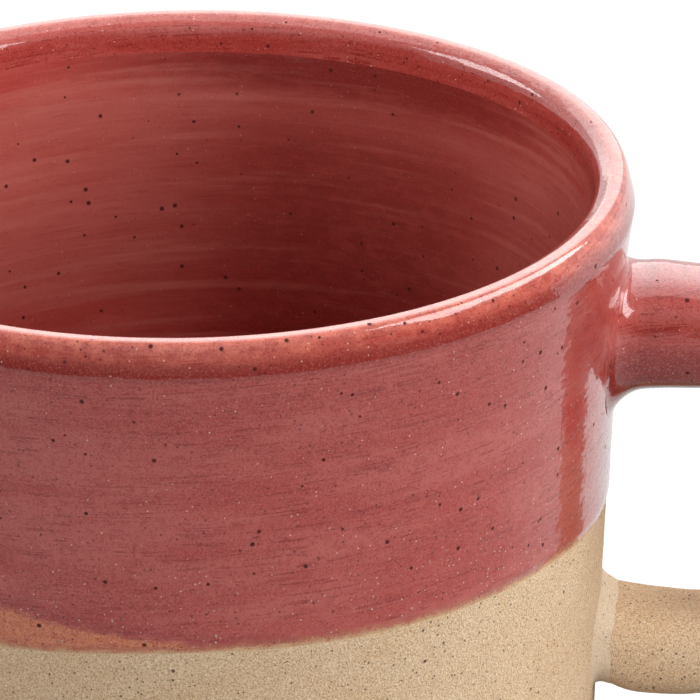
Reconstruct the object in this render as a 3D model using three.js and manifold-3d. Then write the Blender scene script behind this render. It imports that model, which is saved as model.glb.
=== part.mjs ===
// Half-dipped stoneware mug, in millimetres, +Z up.
// A thrown cup stands on a flat foot, and a pulled handle is luted to its wall with two seams of slip.
// A red glaze lines the inside, runs over the lip and covers the outside and the handle down to a dip line.
// The origin is the centre of the foot, and the handle points along +X.

import * as THREE from "three";
import { mergeVertices } from "three/addons/utils/BufferGeometryUtils.js";
import Module from "manifold-3d";

const wasm = await Module();
wasm.setup();

// Cup: the bare clay
const CUP_HEIGHT = 81.6; // foot to the crest of the lip
const FOOT_RADIUS = 39.4; // outside of the wall, carried down to the foot's plane
const LIP_RADIUS = 43.55; // outside of the straight wall, carried up to the crest's height
const LIP_FLARE = 0.6; // how far the wall turns out from straight, at the crest's height
const FLARE_HEIGHT = 22; // from where the wall starts to turn out up to the crest
const FOOT_BEVEL_WIDTH = 1.4;
const FOOT_BEVEL_HEIGHT = 2.2;
const FLOOR_THICKNESS = 6;
const FLOOR_FILLET = 9; // between the floor and the inside of the wall
const WALL_AT_FLOOR = 4.4;
const WALL_AT_LIP = 2.8;

// Lip: rounded off outside, with a crest that falls away in a slope to the inside
const LIP_ROUND_WIDTH = 1.05;
const LIP_ROUND_HEIGHT = 3;
const LIP_SLOPE_ANGLE = 30; // degrees below the level, at the crest
const LIP_SLOPE_DROP = 2.4; // from the crest to where the slope has turned into the wall

// Glaze
const GLAZE_THICKNESS = 0.35;
const DIP_DEPTH = 33.3; // from the crest of the lip down to the glaze's lower edge
const GLAZE_EDGE = 1; // length over which the glaze thins out to nothing at that edge

// Handle: a loop that springs from the wall and is tallest a little way out from it
const UPPER_ROOT_DROP = 17.05; // from the crest of the lip down to the centre of the upper root
const ROOT_SPACING = 32.05; // between the centres of the roots, up and down
const HANDLE_REACH = 17.4; // from the wall to the centre of the outermost part
const LOOP_CENTRE = 6.7; // from the wall to where the loop is tallest
const LOOP_SQUARENESS = 3.2; // 2 is an elliptical loop, more is squarer
const LOOP_LEAN = 4.5; // degrees by which the loop's top leans outwards
const UPPER_WIDTH = 12.6;
const UPPER_THICKNESS = 10.8;
const LOWER_WIDTH = 11.4;
const LOWER_THICKNESS = 9.4;
const OUTER_SLIMNESS = 0.24; // share of its thickness that the loop has lost where it is farthest out
const SLIMMING_POWER = 4; // the more, the farther out the slimming starts
const SECTION_SQUARENESS = 2.5; // 2 is an elliptical limb, more is squarer
const ROOT_SWELL = 0.4; // how much a limb's half thickness grows towards its root
const SWELL_LENGTH = 14; // length of the limb that swells

// Slip seams between the handle's roots and the wall
const ROOT_HOLLOW = 2.4; // radius of the hollow between a limb and the wall
const SLIP_THICKNESS = 0.7;
const SLIP_BEAD = 0.35; // how far the squeezed-out slip stands proud of the hollow
const SEAM_CLEARANCE = 0.3; // between the slip or the handle's glaze and each face beside it

// Facets
const TURN_STEPS = 64; // around the cup
const BEND_STEPS = 3; // along a bend of the outline, and twice as many along a round
const SECTION_STEPS = 20; // around the handle
const HOLLOW_STEPS = 4; // along the hollow at a root
const BEAD_STEPS = 4; // across the bead of slip
const GLAZED_STEPS = 16; // along the glazed part of the handle
const BARE_STEPS = 16; // along the bare part of the handle
const LENGTH_STEPS = 1000; // for measuring along the handle
const SAME_POINT = 0.001; // points closer than this are one

// Heights above the foot, and the distance from the wall to the end of a limb
const FLARE_START = CUP_HEIGHT - FLARE_HEIGHT;
const DIP_LINE = CUP_HEIGHT - DIP_DEPTH;
const UPPER_ROOT = CUP_HEIGHT - UPPER_ROOT_DROP;
const LOWER_ROOT = UPPER_ROOT - ROOT_SPACING;
const HANDLE_START = SEAM_CLEARANCE + SLIP_THICKNESS + SEAM_CLEARANCE;

const clayMaterial = new THREE.MeshStandardMaterial({ color: 0xcbb391, roughness: 0.92, metalness: 0 });
const slipMaterial = new THREE.MeshStandardMaterial({ color: 0xd6c2a4, roughness: 0.95, metalness: 0 });
const glazeMaterial = new THREE.MeshStandardMaterial({ color: 0xa9504b, roughness: 0.18, metalness: 0 });

// Outside radius at a height of the wall without its flare
function straightRadius(height) {
  return THREE.MathUtils.mapLinear(height, 0, CUP_HEIGHT, FOOT_RADIUS, LIP_RADIUS);
}

// Outside radius of the bare wall at a height
function wallRadius(height) {
  const share = Math.max(height - FLARE_START, 0) / FLARE_HEIGHT;
  return straightRadius(height) + LIP_FLARE * share ** 2;
}

// Thickness of the bare wall at a height
function wallThickness(height) {
  return THREE.MathUtils.mapLinear(height, FLOOR_THICKNESS, CUP_HEIGHT, WALL_AT_FLOOR, WALL_AT_LIP);
}

// Inside radius of the bare wall at a height
function insideRadius(height) {
  return wallRadius(height) - wallThickness(height);
}

// Points along an outline of radius and height, each one once
function pointsAlong(line) {
  const points = line.getPoints(BEND_STEPS);
  return points.filter((point, index) => index === 0 || point.distanceTo(points[index - 1]) > SAME_POINT);
}

// Bare clay, from the middle of the foot up to the dip line
function bareOutline() {
  const line = new THREE.Path();
  line.moveTo(0, 0);
  line.lineTo(FOOT_RADIUS - FOOT_BEVEL_WIDTH, 0);
  line.lineTo(wallRadius(FOOT_BEVEL_HEIGHT), FOOT_BEVEL_HEIGHT);
  line.lineTo(wallRadius(DIP_LINE), DIP_LINE);
  return pointsAlong(line);
}

// Clay under the outside glaze, from the dip line up to the crest of the lip
function outsideOutline() {
  const roundStart = CUP_HEIGHT - LIP_ROUND_HEIGHT;
  const crestRadius = wallRadius(roundStart) - LIP_ROUND_WIDTH;
  const line = new THREE.Path();
  line.moveTo(wallRadius(DIP_LINE), DIP_LINE);
  line.lineTo(wallRadius(DIP_LINE + GLAZE_EDGE), DIP_LINE + GLAZE_EDGE);
  line.lineTo(wallRadius(FLARE_START), FLARE_START);
  const bend = (FLARE_START + roundStart) / 2;
  line.quadraticCurveTo(straightRadius(bend), bend, wallRadius(roundStart), roundStart);
  line.absellipse(crestRadius, roundStart, LIP_ROUND_WIDTH, LIP_ROUND_HEIGHT, 0, Math.PI / 2, false);
  return pointsAlong(line);
}

// Clay under the inside glaze, from the crest of the lip down to the middle of the floor
function insideOutline(crest) {
  const slopeEnd = CUP_HEIGHT - LIP_SLOPE_DROP;
  const slopeWidth = crest.x - insideRadius(slopeEnd);
  const slopeFall = slopeWidth * Math.tan(THREE.MathUtils.degToRad(LIP_SLOPE_ANGLE));
  const filletTop = FLOOR_THICKNESS + FLOOR_FILLET;
  const filletCentre = insideRadius(filletTop) - FLOOR_FILLET;
  const line = new THREE.Path();
  line.moveTo(crest.x, crest.y);
  line.quadraticCurveTo(insideRadius(slopeEnd), crest.y - slopeFall, insideRadius(slopeEnd), slopeEnd);
  const bend = (FLARE_START + slopeEnd) / 2;
  const bendRadius = straightRadius(bend) - wallThickness(bend);
  line.quadraticCurveTo(bendRadius, bend, insideRadius(FLARE_START), FLARE_START);
  line.lineTo(insideRadius(filletTop), filletTop);
  line.absarc(filletCentre, filletTop, FLOOR_FILLET, 0, -Math.PI / 2, true);
  line.lineTo(0, FLOOR_THICKNESS);
  return pointsAlong(line);
}

// A line's points moved to its right by a distance, with mitred corners
function coatLine(points, distance) {
  return points.map((point, index) => {
    const starts = [index - 1, index].filter((start) => start >= 0 && start < points.length - 1);
    const normals = starts.map((start) => {
      const along = points[start + 1].clone().sub(points[start]).normalize();
      return new THREE.Vector2(along.y, -along.x);
    });
    const first = normals[0];
    const last = normals[normals.length - 1];
    const mitre = first.clone().add(last).multiplyScalar(distance / (1 + first.dot(last)));
    return point.clone().add(mitre);
  });
}

// Turns an outline about the cup's axis
function turned(outline) {
  return new THREE.LatheGeometry(outline, TURN_STEPS).rotateX(Math.PI / 2);
}

// A sine or cosine bent so that a pair of them traces a superellipse
function bentWave(wave, squareness) {
  return Math.sign(wave) * Math.abs(wave) ** (2 / squareness);
}

// Centre line of the handle from the upper root to the lower: most of a superellipse, leaning outwards
class HandleLine extends THREE.Curve {
  getPoint(share) {
    const lean = THREE.MathUtils.degToRad(LOOP_LEAN);
    const middle = (UPPER_ROOT + LOWER_ROOT) / 2;
    const halfSpan = ROOT_SPACING / 2 / Math.cos(lean);
    const depth = HANDLE_REACH - LOOP_CENTRE;
    const startAngle = -Math.asin((LOOP_CENTRE / depth) ** (LOOP_SQUARENESS / 2));
    const halfHeight = halfSpan / bentWave(Math.cos(startAngle), LOOP_SQUARENESS);
    const angle = THREE.MathUtils.lerp(startAngle, Math.PI - startAngle, share);
    const outward = LOOP_CENTRE + depth * bentWave(Math.sin(angle), LOOP_SQUARENESS);
    const upward = halfHeight * bentWave(Math.cos(angle), LOOP_SQUARENESS);
    const x = wallRadius(middle) + outward * Math.cos(lean) + upward * Math.sin(lean);
    const z = middle - outward * Math.sin(lean) + upward * Math.cos(lean);
    return new THREE.Vector3(x, 0, z);
  }
}

const handleLine = new HandleLine();
handleLine.arcLengthDivisions = LENGTH_STEPS;
const handleLength = handleLine.getLength();

// Length along the handle at which its centre line comes down to the dip line
function dipLength() {
  let above = 0;
  let below = handleLength;
  while (below - above > SAME_POINT) {
    const middle = (above + below) / 2;
    if (handleLine.getPointAt(middle / handleLength).z > DIP_LINE) {
      above = middle;
    } else {
      below = middle;
    }
  }
  return above;
}

// Share of its full thickness that the handle keeps at a point of its centre line
function slimmedShare(centre) {
  const farness = (centre.x - wallRadius(centre.z)) / HANDLE_REACH;
  return 1 - OUTER_SLIMNESS * farness ** SLIMMING_POWER;
}

// How far a limb has swollen at a length along the handle
function swellOutset(length) {
  const fromRoot = Math.min(length, handleLength - length);
  return ROOT_SWELL * Math.max(1 - fromRoot / SWELL_LENGTH, 0) ** 2;
}

// Ring of points around the handle, at a length along its centre line and grown by an outset
function sectionRing(length, outset) {
  const along = length / handleLength;
  const centre = handleLine.getPointAt(along);
  const tangent = handleLine.getTangentAt(along);
  const sideways = new THREE.Vector3(0, 1, 0);
  const outwards = new THREE.Vector3(-tangent.z, 0, tangent.x);
  const grown = swellOutset(length) + outset;
  const kept = slimmedShare(centre);
  const halfWidth = (kept * THREE.MathUtils.lerp(UPPER_WIDTH, LOWER_WIDTH, along)) / 2 + grown;
  const halfThickness = (kept * THREE.MathUtils.lerp(UPPER_THICKNESS, LOWER_THICKNESS, along)) / 2 + grown;
  const ring = [];
  for (let step = 0; step < SECTION_STEPS; step++) {
    const angle = (step / SECTION_STEPS) * 2 * Math.PI;
    const across = halfWidth * bentWave(Math.cos(angle), SECTION_SQUARENESS);
    const through = halfThickness * bentWave(Math.sin(angle), SECTION_SQUARENESS);
    ring.push(centre.clone().addScaledVector(sideways, across).addScaledVector(outwards, through));
  }
  return ring;
}

// A point brought to a distance from the round wall, along X
function besideWall(point, distance) {
  const x = Math.sqrt(wallRadius(point.z) ** 2 - point.y ** 2) + distance;
  return new THREE.Vector3(x, point.y, point.z);
}

// Length along the handle at a distance from the wall, at the upper or the lower root
function rootLength(root, distance) {
  return root === "upper" ? distance : handleLength - distance;
}

// Ring around a root, laid to the round wall
function rootRing(root, distance, outset) {
  const ring = sectionRing(rootLength(root, distance), outset);
  return ring.map((point) => besideWall(point, distance));
}

// Middle of the face that such a ring borders
function rootMiddle(root, distance) {
  const centre = handleLine.getPointAt(rootLength(root, distance) / handleLength);
  return besideWall(centre, distance);
}

// How far the hollow at a root stands out from the limb, at a distance from the wall
function hollowOutset(distance) {
  const inside = Math.max(ROOT_HOLLOW - distance, 0);
  return ROOT_HOLLOW - Math.sqrt(ROOT_HOLLOW ** 2 - inside ** 2);
}

// Evenly spread values from one number to another, both included
function spread(from, to, steps) {
  return Array.from({ length: steps + 1 }, (_, step) => THREE.MathUtils.lerp(from, to, step / steps));
}

// Skins a stack of rings. With two middles it is closed by an end face round each of them.
// Without them it is a sleeve, whose rings run along its inside and back along its outside.
function skinned(rings, middles) {
  const count = rings[0].length;
  const points = rings.flat();
  const faces = [];
  const joins = middles ? rings.length - 1 : rings.length;
  for (let ring = 0; ring < joins; ring++) {
    const here = ring * count;
    const there = ((ring + 1) % rings.length) * count;
    for (let step = 0; step < count; step++) {
      const next = (step + 1) % count;
      faces.push([here + step, here + next, there + next]);
      faces.push([here + step, there + next, there + step]);
    }
  }
  if (middles) {
    const last = (rings.length - 1) * count;
    const firstMiddle = points.push(middles[0]) - 1;
    const lastMiddle = points.push(middles[1]) - 1;
    for (let step = 0; step < count; step++) {
      const next = (step + 1) % count;
      faces.push([firstMiddle, next, step]);
      faces.push([lastMiddle, last + step, last + next]);
    }
  } else {
    faces.forEach((face) => face.reverse());
  }
  const geometry = new THREE.BufferGeometry().setFromPoints(points).setIndex(faces.flat());
  geometry.computeVertexNormals();
  return geometry;
}

// A closed geometry as a solid that can be cut
function solidOf(geometry) {
  const plain = geometry.clone();
  plain.deleteAttribute("normal");
  plain.deleteAttribute("uv");
  const merged = mergeVertices(plain);
  const vertProperties = merged.attributes.position.array;
  const triVerts = new Uint32Array(merged.index.array);
  return new wasm.Manifold(new wasm.Mesh({ numProp: 3, vertProperties, triVerts }));
}

function geometryOf(solid) {
  const mesh = solid.getMesh();
  const geometry = new THREE.BufferGeometry();
  geometry.setAttribute("position", new THREE.BufferAttribute(mesh.vertProperties, 3));
  geometry.setIndex(new THREE.BufferAttribute(mesh.triVerts, 1));
  geometry.computeVertexNormals();
  return geometry;
}

function named(name, geometry, material) {
  const mesh = new THREE.Mesh(geometry, material);
  mesh.name = name;
  return mesh;
}

// The clay's outline in three stretches, and the glaze's face over the last two of them
const bare = bareOutline();
const outside = outsideOutline();
const crest = outside[outside.length - 1];
const inside = insideOutline(crest);
const coat = coatLine([...outside, ...inside.slice(1)], GLAZE_THICKNESS);
const coatOutside = coat.slice(0, outside.length);
const coatInside = coat.slice(outside.length - 1);

function mugBody() {
  return turned([...bare, ...outside.slice(1), ...inside.slice(1)]);
}

// The liner, from the middle of the floor up to the crest
function insideGlaze() {
  return turned([...inside.toReversed(), ...coatInside]);
}

// The dipped coat, from a thin edge at the dip line up to the crest, open round the handle's roots
function outsideGlaze() {
  const ring = turned([outside[0], ...coatOutside.slice(1), ...outside.toReversed()]);
  const besideSeam = skirtOutset(SEAM_CLEARANCE);
  const upperOpening = rootOpening("upper", besideSeam + GLAZE_THICKNESS + SEAM_CLEARANCE);
  const lowerOpening = rootOpening("lower", besideSeam);
  return geometryOf(solidOf(ring).subtract(solidOf(upperOpening)).subtract(solidOf(lowerOpening)));
}

// Tool that cuts an opening round a root: the root's outline, drawn out along X from inside the cup
function rootOpening(root, outset) {
  const outline = sectionRing(rootLength(root, SEAM_CLEARANCE), outset);
  const ends = [insideRadius(FLOOR_THICKNESS) / 2, LIP_RADIUS + HANDLE_REACH];
  const ordered = root === "upper" ? ends : ends.toReversed();
  const rings = ordered.map((x) => outline.map((point) => new THREE.Vector3(x, point.y, point.z)));
  const height = root === "upper" ? UPPER_ROOT : LOWER_ROOT;
  const middles = ordered.map((x) => new THREE.Vector3(x, 0, height));
  return skinned(rings, middles);
}

// Handle rings in the hollow at a root, going away from the wall
const hollowDistances = spread(HANDLE_START, HANDLE_START + ROOT_HOLLOW, HOLLOW_STEPS);
const hollowEnd = hollowDistances[HOLLOW_STEPS];

// Lengths of the handle's rings between its two hollows
const glazeEnd = dipLength();
const glazedLengths = spread(hollowEnd, glazeEnd - GLAZE_EDGE, GLAZED_STEPS).slice(1);
const bareLengths = spread(glazeEnd, handleLength - hollowEnd, BARE_STEPS).slice(0, -1);

function handleBody() {
  const rings = [
    ...hollowDistances.map((distance) => rootRing("upper", distance, hollowOutset(distance))),
    ...[...glazedLengths, ...bareLengths].map((length) => sectionRing(length, 0)),
    ...hollowDistances.toReversed().map((distance) => rootRing("lower", distance, hollowOutset(distance))),
  ];
  return skinned(rings, [rootMiddle("upper", HANDLE_START), rootMiddle("lower", HANDLE_START)]);
}

// A seam of slip with its squeezed-out bead
function slipSeam(root) {
  const distances = spread(SEAM_CLEARANCE, SEAM_CLEARANCE + SLIP_THICKNESS, BEAD_STEPS);
  const rings = distances.map((distance, step) => {
    const bead = SLIP_BEAD * Math.sin((step / BEAD_STEPS) * Math.PI);
    return rootRing(root, distance, hollowOutset(distance) + bead);
  });
  const middles = [distances[0], distances[BEAD_STEPS]].map((distance) => rootMiddle(root, distance));
  return root === "upper" ? skinned(rings, middles) : skinned(rings.reverse(), middles.reverse());
}

// Outset of the inside of the glaze skirt that passes over the upper seam
function skirtOutset(distance) {
  return hollowOutset(distance) + SLIP_BEAD + SEAM_CLEARANCE;
}

// Glaze over the upper part of the handle, with a skirt over the seam. It pools in the hollow.
function handleGlaze() {
  const skirtDistances = [SEAM_CLEARANCE, SEAM_CLEARANCE + SLIP_THICKNESS / 2, HANDLE_START];
  const onHandle = hollowDistances.slice(1);
  const lining = [
    ...skirtDistances.map((distance) => rootRing("upper", distance, skirtOutset(distance))),
    ...onHandle.map((distance) => rootRing("upper", distance, hollowOutset(distance))),
    ...[...glazedLengths, glazeEnd].map((length) => sectionRing(length, 0)),
  ];
  const face = [
    ...skirtDistances.map((distance) => {
      return rootRing("upper", distance, skirtOutset(distance) + GLAZE_THICKNESS);
    }),
    ...onHandle.map((distance, step) => {
      const pool = (SLIP_BEAD + SEAM_CLEARANCE) * (1 - (step + 1) / HOLLOW_STEPS);
      return rootRing("upper", distance, hollowOutset(distance) + pool + GLAZE_THICKNESS);
    }),
    ...glazedLengths.map((length) => sectionRing(length, GLAZE_THICKNESS)),
  ];
  return skinned([...lining, ...face.reverse()]);
}

const cup = new THREE.Group();
cup.add(
  named("mug_body", mugBody(), clayMaterial.clone()),
  named("inside_glaze", insideGlaze(), glazeMaterial.clone()),
  named("outside_glaze", outsideGlaze(), glazeMaterial.clone()),
);

const lutedHandle = new THREE.Group();
lutedHandle.add(
  named("handle", handleBody(), clayMaterial.clone()),
  named("upper_slip_joint", slipSeam("upper"), slipMaterial.clone()),
  named("lower_slip_joint", slipSeam("lower"), slipMaterial.clone()),
  named("handle_glaze", handleGlaze(), glazeMaterial.clone()),
);

const mug = new THREE.Group();
mug.add(cup, lutedHandle);

export default mug;
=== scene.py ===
import math
import bmesh
import bpy
from mathutils import Matrix, Vector, noise
from types import SimpleNamespace


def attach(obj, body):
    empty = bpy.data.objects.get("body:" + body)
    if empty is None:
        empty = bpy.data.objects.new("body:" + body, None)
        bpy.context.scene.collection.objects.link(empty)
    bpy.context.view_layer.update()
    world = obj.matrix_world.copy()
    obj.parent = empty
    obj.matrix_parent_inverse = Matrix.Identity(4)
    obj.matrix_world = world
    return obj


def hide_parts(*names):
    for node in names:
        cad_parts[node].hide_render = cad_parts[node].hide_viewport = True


# Half-dipped stoneware mug. Shapes are worked out in millimetres, and each mesh is made in metres.
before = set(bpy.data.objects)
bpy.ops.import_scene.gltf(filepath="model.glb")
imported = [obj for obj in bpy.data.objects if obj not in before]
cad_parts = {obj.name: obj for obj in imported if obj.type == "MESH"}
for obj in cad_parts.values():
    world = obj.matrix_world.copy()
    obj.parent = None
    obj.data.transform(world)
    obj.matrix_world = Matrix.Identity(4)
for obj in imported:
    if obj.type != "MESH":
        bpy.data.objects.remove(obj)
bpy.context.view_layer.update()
mm = 0.001
sameSpot = 1e-7  # points closer than this are joined


def blendValue(start, end, share):
    return start + (end - start) * share


def easeBetween(low, high, value):
    share = min(max((value - low) / (high - low), 0), 1)
    return share * share * (3 - 2 * share)


def bellAt(value, middle, width):
    return math.exp(-((value - middle) / width) ** 2)


# Even steps from a start, which is left out, to an end
def evenSteps(start, end, steps):
    return [blendValue(start, end, step / steps) for step in range(1, steps + 1)]


seedShift = (7.3, -3.1, 1.7)  # sets one seed's noise apart from the next


def wander(seed, x, y, z, size):
    return noise.noise(Vector([part / size + seed * shift for part, shift in zip((x, y, z), seedShift)]))


def degreesApart(angle, turn):
    return abs((math.degrees(angle) - turn + 180) % 360 - 180)


# Stretches of an outline, each without its first point
def straightPoints(start, end, steps):
    return list(zip(evenSteps(start[0], end[0], steps), evenSteps(start[1], end[1], steps)))


def bentPoints(start, pull, end, steps):
    return [
        tuple((1 - s) ** 2 * start[k] + 2 * s * (1 - s) * pull[k] + s * s * end[k] for k in (0, 1))
        for s in evenSteps(0, 1, steps)
    ]


def arcPoints(centre, radius, startAngle, endAngle, steps):
    angles = evenSteps(startAngle, endAngle, steps)
    return [(centre[0] + radius * math.cos(a), centre[1] + radius * math.sin(a)) for a in angles]


# An outline moved off the clay along its normals
def coatedLine(line, thickness):
    coated = []
    for index, (radius, height) in enumerate(line):
        before = line[max(index - 1, 0)]
        after = line[min(index + 1, len(line) - 1)]
        along = (after[0] - before[0], after[1] - before[1])
        length = math.hypot(*along)
        coat = thickness[index]
        coated.append((radius + coat * along[1] / length, height - coat * along[0] / length))
    return coated


# Turns an outline about the axis. The outline may change with the angle, and may carry values
# for the shader after r and z.
def spinLine(lineAt, steps, closed):
    columns = [lineAt(2 * math.pi * step / steps) for step in range(steps)]
    count = len(columns[0])
    points = []
    values = []
    for step, column in enumerate(columns):
        angle = 2 * math.pi * step / steps
        for radius, height, *more in column:
            points.append((radius * math.cos(angle), radius * math.sin(angle), height))
            values.append(more)
    faces = []
    for step in range(steps):
        here = step * count
        there = (step + 1) % steps * count
        for row in range(count if closed else count - 1):
            after = (row + 1) % count
            faces.append((here + row, there + row, there + after, here + after))
    return points, faces, values


# Skins a stack of rings: a closed sleeve, or a bar with a cap at each end
def skinRings(rings, sleeve):
    count = len(rings[0])
    points = [tuple(point) for ring in rings for point in ring]
    faces = []
    for ring in range(len(rings) if sleeve else len(rings) - 1):
        here = ring * count
        there = (ring + 1) % len(rings) * count
        for step in range(count):
            after = (step + 1) % count
            faces.append((here + step, here + after, there + after, there + step))
    if not sleeve:
        for first in (0, (len(rings) - 1) * count):
            middle = len(points)
            ring = points[first:first + count]
            points.append(tuple(sum(point[k] for point in ring) / count for k in range(3)))
            faces += [(middle, first + step, first + (step + 1) % count) for step in range(count)]
    return points, faces


def makePiece(name, points, faces, material, node, attributes=None):
    mesh = bpy.data.meshes.new(name)
    mesh.from_pydata([(x * mm, y * mm, z * mm) for x, y, z in points], [], faces)
    for title, numbers in (attributes or {}).items():
        mesh.attributes.new(title, "FLOAT", "POINT").data.foreach_set("value", numbers)
    shape = bmesh.new()
    shape.from_mesh(mesh)
    bmesh.ops.remove_doubles(shape, verts=shape.verts, dist=sameSpot)
    bmesh.ops.recalc_face_normals(shape, faces=shape.faces)
    for face in shape.faces:
        face.smooth = True
    shape.to_mesh(mesh)
    shape.free()
    mesh.materials.append(material)
    piece = bpy.data.objects.new(name, mesh)
    bpy.context.collection.objects.link(piece)
    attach(piece, "root")
    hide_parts(node)
    print("made", name, len(mesh.vertices), "points")


# Nodes

def addNode(tree, kind, **settings):
    node = tree.nodes.new("ShaderNode" + kind)
    for setting, value in settings.items():
        setattr(node, setting, value)
    return node


def setInput(tree, socket, value):
    if isinstance(value, bpy.types.NodeSocket):
        tree.links.new(value, socket)
    else:
        socket.default_value = value


def doMath(tree, operation, first, second):
    node = addNode(tree, "Math", operation=operation)
    setInput(tree, node.inputs[0], first)
    setInput(tree, node.inputs[1], second)
    return node.outputs[0]


def multiply(tree, first, second):
    return doMath(tree, "MULTIPLY", first, second)


def remap(tree, value, low, high, newLow=0.0, newHigh=1.0, smooth=True):
    node = addNode(tree, "MapRange", interpolation_type="SMOOTHSTEP" if smooth else "LINEAR")
    for index, number in enumerate((value, low, high, newLow, newHigh)):
        setInput(tree, node.inputs[index], number)
    return node.outputs[0]


def mixColour(tree, share, first, second):
    node = addNode(tree, "Mix", data_type="RGBA")
    setInput(tree, node.inputs[0], share)
    setInput(tree, node.inputs[6], first)
    setInput(tree, node.inputs[7], second)
    return node.outputs[2]


# Lays a paint over a colour where all the masks meet
def layOver(tree, colour, paint, *masks):
    share = masks[0]
    for mask in masks[1:]:
        share = multiply(tree, share, mask)
    return mixColour(tree, share, colour, paint)


# Place on the mug in millimetres, stretched by a factor along each axis
def placeInMm(tree, stretch=(1, 1, 1)):
    place = addNode(tree, "TexCoord")
    scaled = addNode(tree, "Mapping")
    scaled.inputs["Scale"].default_value = tuple(part / mm for part in stretch)
    tree.links.new(place.outputs["Object"], scaled.inputs["Vector"])
    return scaled.outputs["Vector"]


def heightInMm(tree):
    parts = addNode(tree, "SeparateXYZ")
    tree.links.new(placeInMm(tree), parts.inputs[0])
    return parts.outputs[2]


def attributeValue(tree, name):
    return addNode(tree, "Attribute", attribute_name=name).outputs["Fac"]


def noiseValue(tree, vector, scale, detail, rough):
    node = addNode(tree, "TexNoise")
    tree.links.new(vector, node.inputs["Vector"])
    setInput(tree, node.inputs["Scale"], scale)
    node.inputs["Detail"].default_value = detail
    node.inputs["Roughness"].default_value = rough
    return node.outputs["Fac"]


def stretchedNoise(tree, stretch, scale, detail, rough):
    return noiseValue(tree, placeInMm(tree, stretch), scale, detail, rough)


def newGroup(name, inputs, outputs):
    group = bpy.data.node_groups.new(name, "ShaderNodeTree")
    for title, value in inputs.items():
        socket = group.interface.new_socket(title, in_out="INPUT", socket_type="NodeSocketFloat")
        socket.default_value = value
    for title in outputs:
        group.interface.new_socket(title, in_out="OUTPUT", socket_type="NodeSocketFloat")
    return group, group.nodes.new("NodeGroupInput").outputs, group.nodes.new("NodeGroupOutput").inputs


def useGroup(tree, group, **values):
    node = addNode(tree, "Group", node_tree=group)
    for title, value in values.items():
        setInput(tree, node.inputs[title], value)
    return node.outputs


# Iron specks: round dots in a share of the cells of a scattered pattern
def buildSpecks():
    smallest = 0.35  # as a share of the largest dot
    core = 0.55  # share of a dot that has its full colour
    group, given, result = newGroup("iron specks", {"Cell": 1.5, "Dot": 0.2, "Share": 0.3}, ["Mask"])
    cells = addNode(group, "TexVoronoi")
    group.links.new(placeInMm(group), cells.inputs["Vector"])
    group.links.new(doMath(group, "DIVIDE", 1.0, given["Cell"]), cells.inputs["Scale"])
    parts = addNode(group, "SeparateColor")
    group.links.new(cells.outputs["Color"], parts.inputs[0])
    size = doMath(group, "DIVIDE", given["Dot"], given["Cell"])
    size = multiply(group, size, remap(group, parts.outputs[1], 0.0, 1.0, smallest, 1.0, False))
    dot = remap(group, cells.outputs["Distance"], multiply(group, size, core), size, 1.0, 0.0)
    chosen = doMath(group, "LESS_THAN", parts.outputs[0], given["Share"])
    group.links.new(multiply(group, dot, chosen), result["Mask"])
    return group


# Level brush marks: wide patches, pale streaks and thin broken lines. Each kind has its length and height as
# shares of the given ones, and the two noise values between which a mark comes in.
brushKinds = {
    "Patches": (1.4, 5.0, 0.40, 0.62),
    "Streaks": (1.0, 0.60, 0.48, 0.72),
    "Lines": (0.60, 0.28, 0.53, 0.63),
}


def buildBrushMarks():
    slant = -0.03
    lineGaps = (0.43, 0.54)
    group, given, result = newGroup("brush marks", {"Length": 14.0, "Height": 0.8}, list(brushKinds))
    place = addNode(group, "SeparateXYZ")
    group.links.new(placeInMm(group), place.inputs[0])
    slanted = doMath(group, "ADD", place.outputs[2], multiply(group, place.outputs[0], slant))
    for title, (longer, taller, low, high) in brushKinds.items():
        long = multiply(group, given["Length"], longer)
        flat = multiply(group, given["Height"], taller)
        stretched = addNode(group, "CombineXYZ")
        parts = ((place.outputs[0], long), (place.outputs[1], long), (slanted, flat))
        for axis, (part, size) in enumerate(parts):
            group.links.new(doMath(group, "DIVIDE", part, size), stretched.inputs[axis])
        mark = remap(group, noiseValue(group, stretched.outputs[0], 1.0, 4.0, 0.6), low, high)
        if title == "Lines":
            gaps = noiseValue(group, placeInMm(group), 0.5, 3.0, 0.6)
            mark = multiply(group, mark, remap(group, gaps, *lineGaps))
        group.links.new(mark, result[title])
    return group


# Grit: grains of clay at two sizes
def buildGrit():
    coarseScale = 0.22  # as a share of the fine grains' scale
    spread = (0.3, 0.7)
    group, given, result = newGroup("clay grit", {"Size": 0.35}, ["Fine", "Coarse"])
    place = placeInMm(group)
    fine = noiseValue(group, place, doMath(group, "DIVIDE", 1.0, given["Size"]), 3.0, 0.65)
    coarse = noiseValue(group, place, doMath(group, "DIVIDE", coarseScale, given["Size"]), 3.0, 0.6)
    group.links.new(remap(group, fine, *spread), result["Fine"])
    group.links.new(remap(group, coarse, *spread), result["Coarse"])
    return group


specks = buildSpecks()
brushMarks = buildBrushMarks()
grit = buildGrit()


def newMaterial(name):
    material = bpy.data.materials.new(name)
    material.use_nodes = True
    tree = material.node_tree
    return material, tree, tree.nodes["Principled BSDF"]


def addBump(tree, shader, height, strength, distance, layer="Normal"):
    bump = addNode(tree, "Bump")
    bump.inputs["Strength"].default_value = strength
    bump.inputs["Distance"].default_value = distance * mm
    tree.links.new(height, bump.inputs["Height"])
    tree.links.new(bump.outputs["Normal"], shader.inputs[layer])


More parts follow.
